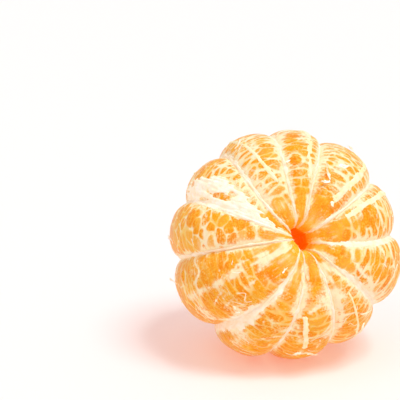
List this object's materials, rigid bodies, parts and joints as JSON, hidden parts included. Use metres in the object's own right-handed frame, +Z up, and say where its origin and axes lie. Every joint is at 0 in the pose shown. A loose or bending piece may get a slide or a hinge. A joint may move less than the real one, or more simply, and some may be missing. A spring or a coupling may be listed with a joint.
{
  "type": "peeled mandarin",
  "caption": "Peeled mandarin lying on its side: juice segments round an open core, with a white pith web over their backs.",
  "frame": {"origin": "on the surface that the fruit lies on, under the middle of its box", "axes": "+Z up; the core's open end faces -Y and looks up by 19 degrees; the stem end, with its pad of pith, faces +Y"},
  "size_m": [0.0574, 0.052, 0.0575],
  "materials": {
    "segment_membrane": "moist, satin, translucent",
    "pith": "matte, fibrous"
  },
  "bodies": {
    "root": {"segment_01": "segment_membrane", "segment_02": "segment_membrane", "segment_03": "segment_membrane", "segment_04": "segment_membrane", "segment_05": "segment_membrane", "segment_06": "segment_membrane", "segment_07": "segment_membrane", "segment_08": "segment_membrane", "segment_09": "segment_membrane", "segment_10": "segment_membrane", "segment_11": "segment_membrane", "pith_web": "pith"}
  },
  "joints": []
}
